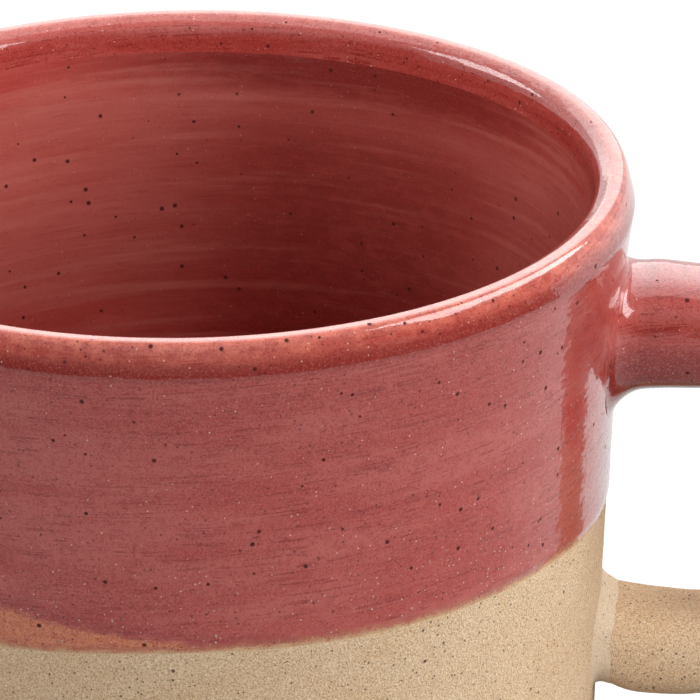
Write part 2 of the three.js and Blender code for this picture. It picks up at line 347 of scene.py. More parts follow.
redGlazeLook = {
    "full": (0.36, 0.044, 0.035, 1),
    "deep": (0.25, 0.020, 0.016, 1),
    "dusty": (0.42, 0.080, 0.066, 1),
    "thin": (0.60, 0.185, 0.075, 1),
    "flake": (0.74, 0.42, 0.21, 1),
    "fringe": (0.58, 0.20, 0.105, 1),
    "sweep": (0.43, 0.135, 0.108, 1),
    # The next colour is painted shade, laid where a coat's painted shade value is high
    "pool": (0.16, 0.016, 0.013, 1),
    "haze": (0.31, 0.095, 0.078, 1),
    "crest": (0.66, 0.175, 0.118, 1),
    "line": (0.21, 0.010, 0.007, 1),
    "speck": (0.055, 0.005, 0.004, 1),
    "rust": (0.12, 0.012, 0.008, 1),
    "glintFleck": (0.80, 0.50, 0.42, 1),
    "roughness": (0.20, 0.28), "speckRoughness": 0.7, "edgeRoughness": 0.8,
    "coat": 1.0, "speckCoat": 0.1, "coatRoughness": 0.035, "ior": 1.25,
    "brushLength": 14.0, "brushHeight": 0.8, "sweepLength": 24.0, "sweepHeight": 2.0, "grainSize": 0.20,
    "insideMark": 40.0, "calmInside": 0.25, "pits": 0.5, "pitsInside": 0.9,
    "bump": 0.022, "bumpStrength": 0.5, "bumpCoarse": 0.6, "bumpFine": 0.25,
    "relief": 0.045, "peelShare": 0.7,
    # How much of each layer shows
    "streakShare": 0.55, "lineShare": 0.75, "hazeShare": 0.5, "sweepShares": (0.5, 0.2), "pooledShare": 0.55,
    "stainShare": 0.6, "flakeShare": 0.6, "redLineShares": (0.1, 0.6), "fringeShare": 0.75,
    "clayGrainShare": 0.6,
    # Noise or painted shade between which a layer comes in, some with its shares at the two ends
    "raggedSpan": (0.3, 0.7), "paintedShadeBreaks": (0.35, 0.6, 0.85, 1.05), "hazeByShade": (0.1, 0.95, 1.0, 0.2),
    "sweepByShade": (0.3, 0.95), "stainGrains": (0.35, 0.9), "flakeGrains": (0.55, 0.9),
    "redLineBreaks": (0.1, 0.9), "crestBreaks": (0.36, 0.60, 0.25, 1.0),
    "pitGrains": (0.1, 0.6), "clayGrains": (0.55, 0.05),
    # Heights in millimetres between which a layer comes in or fades, and how far its edge wanders
    "bandRagged": 0.40, "edgeRagged": 0.30, "bandEdge": (-0.35, 0.35),
    "hazeRise": (46.0, 58.0), "hazeFade": (77.0, 73.0), "pooledRise": (0.1, 0.6), "pooledFade": (2.2, 0.7),
    "redLineRise": (0.5, 0.8), "redLineFade": (1.5, 0.8), "fringeFade": (1.8, 0.8), "fleckFade": (13.0, 3.0),
    "feather": (0.4, 1.1), "glossRise": (0.3, 1.3),
}
# Stretch, scale, detail and roughness of each noise
glazeNoises = {
    "ragged": ((0.5, 0.5, 1.0), 0.9, 4.0, 0.65),
    "ridges": ((0.30, 0.30, 1.0), 1.1, 1.0, 0.5),
    "peel": ((0.9, 0.9, 1.0), 0.9, 1.5, 0.5),
}
# Grain, its values where the mottle starts and is full, depth and colour
glazeMottle = (
    ("Fine", 0.45, 0.05, 0.55, "deep"),
    ("Coarse", 0.5, 0.1, 0.28, "deep"),
    ("Fine", 0.58, 0.95, 0.65, "dusty"),
)
# Colour, cell, dot, share of the cells, depth and place of each layer of dots
# The pale flecks are painted glints, where pinholes in the glaze catch the light
glazeDots = (
    ("glintFleck", 0.62, 0.12, 0.3, 0.6, "calm"),
    ("rust", 0.85, 0.19, 0.9, 0.8, "calm"),
    ("rust", 0.55, 0.17, 0.8, 0.8, "nearEdge"),
    ("glintFleck", 0.55, 0.14, 0.5, 0.6, "nearEdge"),
    ("speck", 1.6, 0.33, 0.55, 0.95, "everywhere"),
)


# Moves a height up or down by a pattern, so that an edge laid at it wanders
def shiftHeight(tree, height, pattern, span, reach):
    return doMath(tree, "ADD", height, remap(tree, pattern, *span, -reach, reach, False))


# Masks that the layers of the glaze share
def glazeMarks(tree, look):
    marks = SimpleNamespace(everywhere=1.0)
    marks.brush = useGroup(tree, brushMarks, Length=look["brushLength"], Height=look["brushHeight"])
    marks.grains = useGroup(tree, grit, Size=look["grainSize"])
    marks.ragged = stretchedNoise(tree, *glazeNoises["ragged"])
    marks.crest = attributeValue(tree, "crestNear")
    # Painted shade of each point of a coat: above zero it darkens the glaze, below zero it makes it paler and
    # dusty
    marks.pool = attributeValue(tree, "paintedShadeDepth")
    above = attributeValue(tree, "coatHeight")
    fromEdge = attributeValue(tree, "edgeHeight")
    marks.inside = doMath(tree, "GREATER_THAN", above, look["insideMark"])
    marks.calm = remap(tree, marks.inside, 0.0, 1.0, 1.0, look["calmInside"], False)
    marks.above = shiftHeight(tree, above, marks.ragged, look["raggedSpan"], look["bandRagged"])
    fromEdge = shiftHeight(tree, fromEdge, marks.ragged, look["raggedSpan"], look["edgeRagged"])
    marks.fromEdge = shiftHeight(tree, fromEdge, marks.grains["Fine"], (0.0, 1.0), look["edgeRagged"])
    marks.nearEdge = remap(tree, marks.fromEdge, *look["fleckFade"])
    marks.thick = remap(tree, marks.above, *look["bandEdge"])
    marks.bare = doMath(tree, "SUBTRACT", 1.0, marks.thick)
    marks.lines = multiply(tree, marks.brush["Lines"], marks.calm)
    return marks


# Brushed red, dusty where it is thin, darkened by painted shade and made paler where that value is below
# zero, and hazy round the inside
def brushedRed(tree, look, marks):
    colour = mixColour(tree, marks.brush["Patches"], look["full"], look["dusty"])
    colour = layOver(tree, colour, look["dusty"], marks.brush["Streaks"], look["streakShare"])
    # Below zero the painted shade value lays a paler, dusty tone
    colour = layOver(tree, colour, look["dusty"], marks.pool, -1.0)
    # Painted shade, broken by the ragged noise
    colour = layOver(tree, colour, look["pool"], marks.pool, remap(tree, marks.ragged, *look["paintedShadeBreaks"]))
    level = heightInMm(tree)
    rise = remap(tree, level, *look["hazeRise"], 0.0, look["hazeShare"])
    fade = remap(tree, level, *look["hazeFade"])
    thinned = remap(tree, marks.pool, *look["hazeByShade"])
    colour = layOver(tree, colour, look["haze"], marks.inside, rise, fade, thinned)
    colour = layOver(tree, colour, look["line"], marks.lines, look["lineShare"])
    sweeps = useGroup(tree, brushMarks, Length=look["sweepLength"], Height=look["sweepHeight"])["Streaks"]
    swept = remap(tree, marks.pool, *look["sweepByShade"], *look["sweepShares"])
    return layOver(tree, colour, look["sweep"], marks.inside, swept, sweeps)


# Band of the first coat, the lines along its edges and the crest of the lip
def bandAndCrest(tree, look, marks, colour):
    rise = remap(tree, marks.above, *look["pooledRise"])
    fade = remap(tree, marks.above, *look["pooledFade"])
    colour = layOver(tree, colour, look["deep"], rise, fade, look["pooledShare"])
    colour = mixColour(tree, marks.thick, look["thin"], colour)
    stain = remap(tree, marks.grains["Coarse"], *look["stainGrains"], 0.0, look["stainShare"])
    colour = layOver(tree, colour, look["full"], marks.bare, stain)
    flaky = remap(tree, marks.grains["Fine"], *look["flakeGrains"], 0.0, look["flakeShare"])
    colour = layOver(tree, colour, look["flake"], marks.bare, flaky)
    rise = remap(tree, marks.fromEdge, *look["redLineRise"])
    fade = remap(tree, marks.fromEdge, *look["redLineFade"])
    breaks = remap(tree, marks.brush["Patches"], *look["redLineBreaks"], *look["redLineShares"])
    colour = layOver(tree, colour, look["full"], rise, fade, breaks, marks.bare)
    fringe = remap(tree, marks.fromEdge, *look["fringeFade"], 0.0, look["fringeShare"])
    colour = layOver(tree, colour, look["fringe"], fringe, marks.thick)
    return layOver(tree, colour, look["crest"], marks.crest, remap(tree, marks.ragged, *look["crestBreaks"]))


# Fine mottle, then flecks and iron specks; the mask of the specks comes back too
def mottleAndDots(tree, look, marks, colour):
    for grain, low, high, depth, name in glazeMottle:
        mottle = remap(tree, marks.grains[grain], low, high, 0.0, depth)
        colour = layOver(tree, colour, look[name], mottle, marks.calm)
    for name, cell, dot, share, depth, where in glazeDots:
        dots = useGroup(tree, specks, Cell=cell, Dot=dot, Share=share)["Mask"]
        colour = layOver(tree, colour, look[name], dots, getattr(marks, where), depth)
    return colour, dots


# Glossy, but dull at its own edge and on the specks, with fine pits
def addGloss(tree, shader, look, marks, dots):
    gloss = remap(tree, marks.fromEdge, *look["glossRise"])
    rough = remap(tree, marks.brush["Streaks"], 0.0, 1.0, *look["roughness"])
    rough = doMath(tree, "MAXIMUM", rough, multiply(tree, dots, look["speckRoughness"]))
    rough = doMath(tree, "MAXIMUM", rough, remap(tree, gloss, 0.0, 1.0, look["edgeRoughness"], 0.0))
    tree.links.new(rough, shader.inputs["Roughness"])
    deepest = remap(tree, marks.inside, 0.0, 1.0, look["pits"], look["pitsInside"], False)
    pitted = remap(tree, marks.grains["Fine"], *look["pitGrains"], deepest, 1.0)
    pitted = doMath(tree, "MAXIMUM", pitted, marks.crest)
    coat = multiply(tree, pitted, remap(tree, dots, 0.0, 1.0, look["coat"], look["speckCoat"]))
    tree.links.new(multiply(tree, coat, gloss), shader.inputs["Coat Weight"])
    shader.inputs["Coat Roughness"].default_value = look["coatRoughness"]
    shader.inputs["IOR"].default_value = look["ior"]


# The glassy top has a relief of its own: short level ridges left by the brush, and a fine peel
def addRelief(tree, shader, look, marks):
    height = doMath(tree, "ADD", marks.lines, multiply(tree, marks.grains["Coarse"], look["bumpCoarse"]))
    height = doMath(tree, "ADD", height, multiply(tree, marks.grains["Fine"], look["bumpFine"]))
    addBump(tree, shader, height, look["bumpStrength"], look["bump"])
    ridges = stretchedNoise(tree, *glazeNoises["ridges"])
    peel = stretchedNoise(tree, *glazeNoises["peel"])
    relief = doMath(tree, "ADD", ridges, multiply(tree, peel, look["peelShare"]))
    addBump(tree, shader, relief, 1.0, look["relief"], "Coat Normal")


def makeRedGlaze(clay):
    look = redGlazeLook
    material, tree, shader = newMaterial("red glaze")
    marks = glazeMarks(tree, look)
    colour = brushedRed(tree, look, marks)
    colour = bandAndCrest(tree, look, marks, colour)
    colour, dots = mottleAndDots(tree, look, marks, colour)
    grain = remap(tree, marks.grains["Fine"], *look["clayGrains"], 0.0, look["clayGrainShare"])
    clayColour = mixColour(tree, grain, clay["buff"], clay["brown"])
    colour = mixColour(tree, remap(tree, marks.fromEdge, *look["feather"]), clayColour, colour)
    tree.links.new(colour, shader.inputs["Base Color"])
    addGloss(tree, shader, look, marks, dots)
    addRelief(tree, shader, look, marks)
    return material


bareClayLook = {
    "buff": (0.67, 0.448, 0.264, 1),
    "pale": (0.82, 0.66, 0.47, 1),
    "brown": (0.40, 0.235, 0.115, 1),
    "speck": (0.055, 0.028, 0.014, 1),
    "roughness": 0.88, "bump": 0.08,
}
slipLook = {
    "buff": (0.66, 0.50, 0.345, 1),
    "pale": (0.74, 0.59, 0.43, 1),
    "brown": (0.52, 0.37, 0.23, 1),
    "speck": (0.06, 0.04, 0.025, 1),
    "roughness": 0.8, "bump": 0.03,
}
# Values that both clays share
clayGrain = {"size": 0.17, "bumpStrength": 0.7, "bumpCoarse": 0.8, "wideSpan": (0.3, 0.7), "wideShare": 0.3}
clayNoise = ((1, 1, 2.2), 0.08, 3.0, 0.6)  # stretch, scale, detail and roughness
# Fine grain where the mottle starts and is full, depth and colour
clayMottle = ((0.50, 0.05, 0.75, "brown"), (0.62, 0.95, 0.75, "pale"))
# Colour, cell, dot, share of the cells and depth of each layer of dots
clayDots = (
    ("pale", 0.40, 0.14, 0.6, 0.85),
    ("brown", 0.42, 0.13, 0.5, 0.8),
    ("speck", 0.7, 0.17, 0.9, 0.8),
    ("speck", 1.6, 0.26, 0.6, 0.9),
)


def makeClay(name, look):
    material, tree, shader = newMaterial(name)
    grains = useGroup(tree, grit, Size=clayGrain["size"])
    wide = remap(tree, stretchedNoise(tree, *clayNoise), *clayGrain["wideSpan"], 0.0, clayGrain["wideShare"])
    colour = mixColour(tree, wide, look["buff"], look["pale"])
    for low, high, depth, tone in clayMottle:
        colour = mixColour(tree, remap(tree, grains["Fine"], low, high, 0.0, depth), colour, look[tone])
    for tone, cell, dot, share, depth in clayDots:
        dots = useGroup(tree, specks, Cell=cell, Dot=dot, Share=share)["Mask"]
        colour = layOver(tree, colour, look[tone], dots, depth)
    tree.links.new(colour, shader.inputs["Base Color"])
    shader.inputs["Roughness"].default_value = look["roughness"]
    height = doMath(tree, "ADD", grains["Fine"], multiply(tree, grains["Coarse"], clayGrain["bumpCoarse"]))
    addBump(tree, shader, height, clayGrain["bumpStrength"], look["bump"])
    return material


redGlaze = makeRedGlaze(bareClayLook)
bareClay = makeClay("bare stoneware", bareClayLook)
joiningSlip = makeClay("joining slip", slipLook)
print("materials made")


# Thrown cup

cup = {
    "height": 81.45, "footRadius": 39.4, "lipRadius": 43.55, "lipFlare": 1.1, "flareHeight": 18.0,
    "footBevelWidth": 1.4, "footBevelHeight": 2.2,
    "bevelEaseIn": 0.3, "bevelEaseDown": 0.5, "bevelEaseUp": 1.2,
    "footTurnIn": 0.7, "footTurnOut": 0.4, "footTurnHeight": 0.6,
    "floorThickness": 6.0, "floorFillet": 9.0, "wallAtFloor": 4.4, "wallAtLip": 3.4,
    "lipWidth": 1.1, "lipHeight": 2.95, "lipLean": 14.0, "lipLeanHeight": 1.6,
    "lipFlatAngle": 1.5, "lipFlat": 0.85, "lipSlopeAngle": 30.0, "lipSlopeDrop": 2.4, "lipSlope": 0.55,
    "outOfRound": 0.05, "ovalTurn": 0.6, "throwingRings": 0.008, "ringSpacing": 4.2, "ringTwist": 0.25,
    "trueRadius": 30.0, "trueHeight": 8.0, "stepsAround": 288,
}
footSteps = {"flat": 10, "turn": 6, "bevel": 3, "ease": 6}
wallSteps = {"outside": 64, "inside": 56, "fillet": 16, "floor": 10}
lipSteps = {"lean": 8, "round": 16, "flat": 4, "slope": 4, "bend": 14}
lipStart = cup["height"] - cup["lipHeight"]  # outside
lipEnd = cup["height"] - cup["lipSlopeDrop"]  # inside


def wallRadius(height):
    straight = blendValue(cup["footRadius"], cup["lipRadius"], height / cup["height"])
    share = max(height - (cup["height"] - cup["flareHeight"]), 0) / cup["flareHeight"]
    return straight + cup["lipFlare"] * share ** 2


def insideRadius(height):
    share = (height - cup["floorThickness"]) / (cup["height"] - cup["floorThickness"])
    return wallRadius(height) - blendValue(cup["wallAtFloor"], cup["wallAtLip"], share)


# Outside wall up to where the lip rounds off
def outsideLine(start):
    return [(wallRadius(z), z) for z in evenSteps(start, lipStart, wallSteps["outside"])]


def footLine():
    flat = cup["footRadius"] - cup["footBevelWidth"]
    top = cup["footBevelHeight"]
    upper = top + cup["bevelEaseUp"]
    wall = wallRadius(top)
    line = [(0.0, 0.0)]
    line += straightPoints(line[-1], (flat - cup["footTurnIn"], 0.0), footSteps["flat"])
    turned = (flat + cup["footTurnOut"], cup["footTurnHeight"])
    line += bentPoints(line[-1], (flat, 0.0), turned, footSteps["turn"])
    eased = (wall - cup["bevelEaseIn"], top - cup["bevelEaseDown"])
    line += straightPoints(line[-1], eased, footSteps["bevel"])
    line += bentPoints(line[-1], (wall, top), (wallRadius(upper), upper), footSteps["ease"])
    return line


# Lip: leans in from the outside wall, rounds over to a narrow flat, slopes and bends into the inside wall
def lipLine():
    steps = lipSteps
    start = (wallRadius(lipStart), lipStart)
    lean = math.tan(math.radians(cup["lipLean"]))
    leanEnd = (start[0] - lean * cup["lipLeanHeight"], start[1] + cup["lipLeanHeight"])
    crest = (start[0] - cup["lipWidth"], cup["height"])
    line = straightPoints(start, leanEnd, steps["lean"])
    line += bentPoints(leanEnd, (start[0] - lean * cup["lipHeight"], cup["height"]), crest, steps["round"])
    tilt = math.radians(cup["lipFlatAngle"])
    flat = (crest[0] - cup["lipFlat"] * math.cos(tilt), crest[1] - cup["lipFlat"] * math.sin(tilt))
    wall = insideRadius(lipEnd)
    corner = (wall, flat[1] - math.tan(math.radians(cup["lipSlopeAngle"])) * (flat[0] - wall))
    turn = tuple(blendValue(flat[k], corner[k], cup["lipSlope"]) for k in (0, 1))
    line += straightPoints(crest, flat, steps["flat"])
    line += straightPoints(flat, turn, steps["slope"])
    line += bentPoints(turn, corner, (wall, lipEnd), steps["bend"])
    return line


def insideLine():
    filletTop = cup["floorThickness"] + cup["floorFillet"]
    line = [(insideRadius(z), z) for z in evenSteps(lipEnd, filletTop, wallSteps["inside"])]
    centre = (insideRadius(filletTop) - cup["floorFillet"], filletTop)
    line += arcPoints(centre, cup["floorFillet"], 0, -math.pi / 2, wallSteps["fillet"])
    line += straightPoints(line[-1], (0.0, cup["floorThickness"]), wallSteps["floor"])
    return line


# What the hand leaves on the wheel: a little out of round, with faint rings
def handMade(angle, radius, height):
    share = min(radius / cup["trueRadius"], 1) * easeBetween(0, cup["trueHeight"], height)
    oval = cup["outOfRound"] * math.cos(2 * angle + cup["ovalTurn"])
    climb = height + cup["ringTwist"] * angle
    rings = cup["throwingRings"] * math.sin(2 * math.pi * climb / cup["ringSpacing"])
    return radius + share * (oval + rings)


def handMadeLine(angle, line):
    return [(handMade(angle, r, z), z) for r, z in line]


clayLine = footLine()
clayLine += outsideLine(clayLine[-1][1]) + lipLine() + insideLine()
points, faces, _ = spinLine(lambda angle: handMadeLine(angle, clayLine), cup["stepsAround"], False)
makePiece("thrown_cup", points, faces, bareClay, "mug_body")


# Dipped glaze

dip = {
    "edge": 48.16, "edgeSag": 1.3, "edgeTurn": -60.0, "edgeSpread": (25.0, 65.0),
    "edgeRipple": 0.12, "rippleSize": 0.22, "edgeLength": 1.6, "edgeSunk": 0.04,
    "edgeBead": 0.03, "beadHeight": 1.6, "beadWidth": 0.8,
    "wallCoat": 0.13, "lipCoat": 0.30, "secondCoat": 0.05, "hidden": 0.25,
    "thickFrom": 60.0, "thickBelowRim": 2.0,
    "secondEdge": 50.76, "secondTilt": 5.5, "secondTurn": -190.0, "secondTop": 53.76, "secondTopEase": 0.6,
    "bandLeast": 2.2, "bandFade": (0.2, 1.0), "stepHalf": 0.35, "stepReach": 0.45,
    "crestWidth": 1.0, "crestFade": (3.2, 0.6),
    # Painted shade under the lip: its depth, and the depths below the rim where it rises and fades
    "rimShade": 0.8, "rimShadeRise": (3.5, 2.8), "rimShadeFade": (1.0, 2.0),
    "tuck": 5.0, "tuckStart": 1.5, "tuckSunk": 0.06, "stepsAround": 360,
}
dipSteps = {"band": 6, "step": 6, "wall": 34, "tuck": 8}
edgeParts = (0, 0.12, 0.25, 0.38, 0.5, 0.65, 0.82, 1.0)


def glazeEdge(angle):
    away = degreesApart(angle, dip["edgeTurn"])
    ripple = wander(1, math.cos(angle), math.sin(angle), 0, dip["rippleSize"])
    return dip["edge"] - dip["edgeSag"] * easeBetween(*dip["edgeSpread"], away) + dip["edgeRipple"] * ripple


# The second dip went in at a tilt, so a band of the first coat shows on one side
def secondEdge(angle):
    tilted = dip["secondEdge"] + dip["secondTilt"] * math.cos(angle - math.radians(dip["secondTurn"]))
    return min(tilted, dip["secondTop"] - dip["secondTopEase"] * math.exp(-abs(tilted - dip["secondTop"])))


# What the coat gains towards the rim
def rimCoat(height):
    gain = dip["lipCoat"] - dip["wallCoat"]
    return gain * easeBetween(dip["thickFrom"], cup["height"] - dip["thickBelowRim"], height)


# Outside of the glazed wall above the band
def glazedRadius(angle, height):
    coat = dip["wallCoat"] + dip["secondCoat"] + rimCoat(height)
    return handMade(angle, wallRadius(height) + coat, height)


def crestNear(radius, height):
    crest = wallRadius(lipStart) - cup["lipWidth"]
    fade = easeBetween(*dip["crestFade"], cup["height"] - height)
    return bellAt(radius, crest, dip["crestWidth"]) * fade


# Painted shade in a ring under the lip
def rimShade(height):
    below = cup["height"] - height
    return dip["rimShade"] * easeBetween(*dip["rimShadeRise"], below) * easeBetween(*dip["rimShadeFade"], below)


# Heights up the wall, close together at the two edges
def dippedHeights(edge, second):
    reach = dip["stepReach"]
    heights = [edge + dip["edgeLength"] * part for part in edgeParts]
    heights += evenSteps(heights[-1], second - reach, dipSteps["band"])
    heights += evenSteps(second - reach, second + reach, dipSteps["step"])
    return heights + evenSteps(heights[-1], lipStart, dipSteps["wall"])


# Thickness on the outside wall: a thin beaded edge, then a step where the second coat starts
def dippedWallCoat(height, edge, second, banded):
    rise = min((height - edge) / dip["edgeLength"], 1)
    bead = dip["edgeBead"] * bellAt(height - edge, dip["beadHeight"], dip["beadWidth"])
    coat = blendValue(-dip["edgeSunk"], dip["wallCoat"] + bead, easeBetween(0, 1, rise))
    step = easeBetween(second - dip["stepHalf"], second + dip["stepHalf"], height)
    return coat + dip["secondCoat"] * blendValue(rise, step, banded)


def dippedLineAt(angle):
    edge = glazeEdge(angle)
    bandTop = secondEdge(angle)
    second = max(bandTop, edge + dip["bandLeast"])
    banded = easeBetween(*dip["bandFade"], bandTop - edge)
    heights = dippedHeights(edge, second)
    clay = [(wallRadius(z), z) for z in heights] + lipLine()
    crestRow = len(heights) + lipSteps["lean"] + lipSteps["round"] - 1
    low = lipEnd - dip["tuck"]
    clay += [(insideRadius(z), z) for z in evenSteps(lipEnd, low, dipSteps["tuck"])]
    coats = []
    for row, (_, height) in enumerate(clay):
        coat = dip["wallCoat"] + dip["secondCoat"]
        if row < len(heights):
            coat = dippedWallCoat(height, edge, second, banded)
        coat += rimCoat(height)
        if row > crestRow:
            tucked = easeBetween(cup["height"] - dip["tuckStart"], low, height)
            coat = blendValue(coat, -dip["tuckSunk"], tucked)
        coats.append(coat)
    outer = handMadeLine(angle, coatedLine(clay, coats))
    inner = coatedLine(clay, [-dip["hidden"]] * len(clay))
    face = [
        (r, z, z - bandTop, crestNear(*clay[row]), z - edge, rimShade(z) if row < crestRow else 0.0)
        for row, (r, z) in enumerate(outer)
    ]
    back = [(r, z, z - bandTop, 0.0, z - edge, 0.0) for r, z in inner]
    return face + back[::-1]


# What each point of a coat tells the shader, in the order of the values that follow r and z
coatTitles = ("coatHeight", "crestNear", "edgeHeight", "paintedShadeDepth")


def coatValues(values):
    return {title: [value[k] for value in values] for k, title in enumerate(coatTitles)}


points, faces, values = spinLine(dippedLineAt, dip["stepsAround"], True)
makePiece("dipped_glaze", points, faces, redGlaze, "outside_glaze", coatValues(values))


# Poured liner

liner = {
    "coat": 0.26, "hidden": 0.25, "lipRows": 10, "stepsAround": 288, "farFromEdge": 50.0,
    # Painted shade inside: its depth from top to bottom, the heights it deepens over, and the turn and spread
    # of the side where it is strongest
    "pool": (0.76, 0.97), "shadeDepthHeights": (82.0, 50.0), "shadeTurn": 65.0, "shadeSpread": (8.0, 55.0),
    "farShadeShare": -0.25, "floorShare": 0.05, "floorHeights": (45.0, 20.0),
    "ringHeight": 72.5, "ringWidth": 2.2, "ringDust": 0.3,
    "shadeHeight": 77.0, "shadeWidth": 2.5, "shadeBandDepth": 0.4,
}


# Painted shade: deeper down the inside and towards one side, with a band of painted shade near the top; below
# zero it is a paler, dusty tone, a painted reflection on the far side and a dusty ring at one height
def linerShade(angle, height):
    away = degreesApart(angle, liner["shadeTurn"])
    share = blendValue(1.0, liner["farShadeShare"], easeBetween(*liner["shadeSpread"], away))
    pool = blendValue(*liner["pool"], easeBetween(*liner["shadeDepthHeights"], height))
    pool *= blendValue(share, liner["floorShare"], easeBetween(*liner["floorHeights"], height))
    pool -= liner["ringDust"] * bellAt(height, liner["ringHeight"], liner["ringWidth"])
    return pool + liner["shadeBandDepth"] * bellAt(height, liner["shadeHeight"], liner["shadeWidth"])


def linerLineAt(angle):
    clay = lipLine()[-liner["lipRows"]:] + insideLine()
    coats = [liner["coat"] * easeBetween(0, liner["lipRows"] - 1, row) for row in range(len(clay))]
    outer = handMadeLine(angle, coatedLine(clay, coats))
    outer[-1] = (0.0, outer[-1][1])
    inner = coatedLine(clay, [-liner["hidden"]] * len(clay))
    inner[-1] = (0.0, inner[-1][1])
    far = liner["farFromEdge"]
    return [(r, z, far, 0.0, far, linerShade(angle, z)) for r, z in outer + inner[::-1]]


points, faces, values = spinLine(linerLineAt, liner["stepsAround"], True)
makePiece("poured_liner", points, faces, redGlaze, "inside_glaze", coatValues(values))


# Pulled handle

bar = {
    "upperRoot": 64.41, "rootSpacing": 32.05, "reach": 17.4, "lean": 4.5,
    "loopCentre": 6.7, "loopSquareness": 3.2,
    "upperWidth": 12.6, "upperThickness": 10.8, "lowerWidth": 11.4, "lowerThickness": 9.4,
    "outerSlimness": 0.24, "slimmingPower": 4, "upperSquareness": 3.1, "lowerSquareness": 2.6,
    "squarenessSpan": (0.2, 0.8), "rootSwell": 0.4, "swellLength": 14.0, "laidLengths": (2.5, 9.0),
    "fingerDents": 0.05, "dentSize": 7.0, "dentLengths": (1.0, 5.0), "stepsAround": 72, "stepsAlong": 150,
}


def bentWave(wave, squareness):
    return math.copysign(abs(wave) ** (2 / squareness), wave)


def handlePoint(share):
    lean = math.radians(bar["lean"])
    middle = bar["upperRoot"] - bar["rootSpacing"] / 2
    depth = bar["reach"] - bar["loopCentre"]
    start = -math.asin((bar["loopCentre"] / depth) ** (bar["loopSquareness"] / 2))
    tall = bar["rootSpacing"] / 2 / math.cos(lean) / bentWave(math.cos(start), bar["loopSquareness"])
    angle = blendValue(start, math.pi - start, share)
    outward = bar["loopCentre"] + depth * bentWave(math.sin(angle), bar["loopSquareness"])
    upward = tall * bentWave(math.cos(angle), bar["loopSquareness"])
    x = wallRadius(middle) + outward * math.cos(lean) + upward * math.sin(lean)
    z = middle - outward * math.sin(lean) + upward * math.cos(lean)
    return Vector((x, 0, z))


# Even lengths along the centre line
def measuredLine(count):
    fineSteps = 4000
    fine = [handlePoint(step / fineSteps) for step in range(fineSteps + 1)]
    lengths = [0.0]
    for before, after in zip(fine, fine[1:]):
        lengths.append(lengths[-1] + (after - before).length)
    line = []
    index = 0
    for step in range(count + 1):
        wanted = lengths[-1] * step / count
        while index < fineSteps - 1 and lengths[index + 1] < wanted:
            index += 1
        share = (wanted - lengths[index]) / (lengths[index + 1] - lengths[index])
        line.append(fine[index].lerp(fine[index + 1], share))
    return line, lengths[-1]


lineSteps = 1200
handleLine, handleLength = measuredLine(lineSteps)


def onHandle(length):
    place = min(max(length / handleLength, 0), 1) * lineSteps
    index = min(int(place), lineSteps - 1)
    return handleLine[index].lerp(handleLine[index + 1], place - index)


# Ring round the handle at a length along it, laid to the wall near a root
def handleRing(length, outset):
    centre = onHandle(length)
    beside = 0.4
    tangent = (onHandle(length + beside) - onHandle(length - beside)).normalized()
    outwards = Vector((-tangent.z, 0, tangent.x))
    share = length / handleLength
    fromRoot = min(length, handleLength - length)
    grown = outset + bar["rootSwell"] * max(1 - fromRoot / bar["swellLength"], 0) ** 2
    farness = (centre.x - wallRadius(centre.z)) / bar["reach"]
    kept = 1 - bar["outerSlimness"] * max(farness, 0) ** bar["slimmingPower"]
    halfWidth = kept * blendValue(bar["upperWidth"], bar["lowerWidth"], share) / 2 + grown
    halfThick = kept * blendValue(bar["upperThickness"], bar["lowerThickness"], share) / 2 + grown
    lower = easeBetween(*bar["squarenessSpan"], share)
    squareness = blendValue(bar["upperSquareness"], bar["lowerSquareness"], lower)
    dentDepth = bar["fingerDents"] * easeBetween(*bar["dentLengths"], fromRoot)
    ring = []
    for step in range(bar["stepsAround"]):
        angle = 2 * math.pi * step / bar["stepsAround"]
        across = halfWidth * bentWave(math.cos(angle), squareness)
        through = halfThick * bentWave(math.sin(angle), squareness)
        point = centre + Vector((0, across, 0)) + outwards * through
        point += (point - centre).normalized() * dentDepth * wander(4, *point, bar["dentSize"])
        laid = math.sqrt(max(wallRadius(point.z) ** 2 - point.y ** 2, 0)) + fromRoot
        point.x = blendValue(laid, point.x, easeBetween(*bar["laidLengths"], fromRoot))
        ring.append(point)
    return ring


# Distances from the wall across a hollow, closest together at the wall
def hollowDistances(values, radius):
    reach = radius + values["pastHollow"]
    shares = [0.0] + evenSteps(0, 1, values["rows"])
    return [values["start"] + reach * share ** values["spacing"] for share in shares]


# Outset of a quarter-round hollow at a distance from the wall
def hollowOutset(distance, radius):
    inside = min(max(radius - distance, 0), radius)
    return radius - math.sqrt(max(radius ** 2 - inside ** 2, 0))


lengths = [0.0] + evenSteps(0.0, handleLength, bar["stepsAlong"])
points, faces = skinRings([handleRing(length, 0) for length in lengths], False)
makePiece("pulled_handle", points, faces, bareClay, "handle")


# Slip seams: the squeezed-out slip was wiped into a hollow all round each root

seam = {
    "upperHollow": 2.4, "lowerHollow": 1.9, "start": -0.12, "pastHollow": 0.5, "spacing": 1.6, "rows": 22,
    "bead": 0.12, "lump": 0.22, "lumpSize": 3.0, "lumpRise": (-0.1, 0.5),
    "endFade": (0.4, -0.6), "endSunk": 0.12, "sunk": 0.35, "innerPastHollow": 0.3,
}


# Length along the handle at a distance from the wall
def seamLength(root, distance):
    return max(distance, 0.0) if root == "upper" else handleLength - max(distance, 0.0)


def offWall(point, distance):
    return math.sqrt(wallRadius(point.z) ** 2 - point.y ** 2) + distance


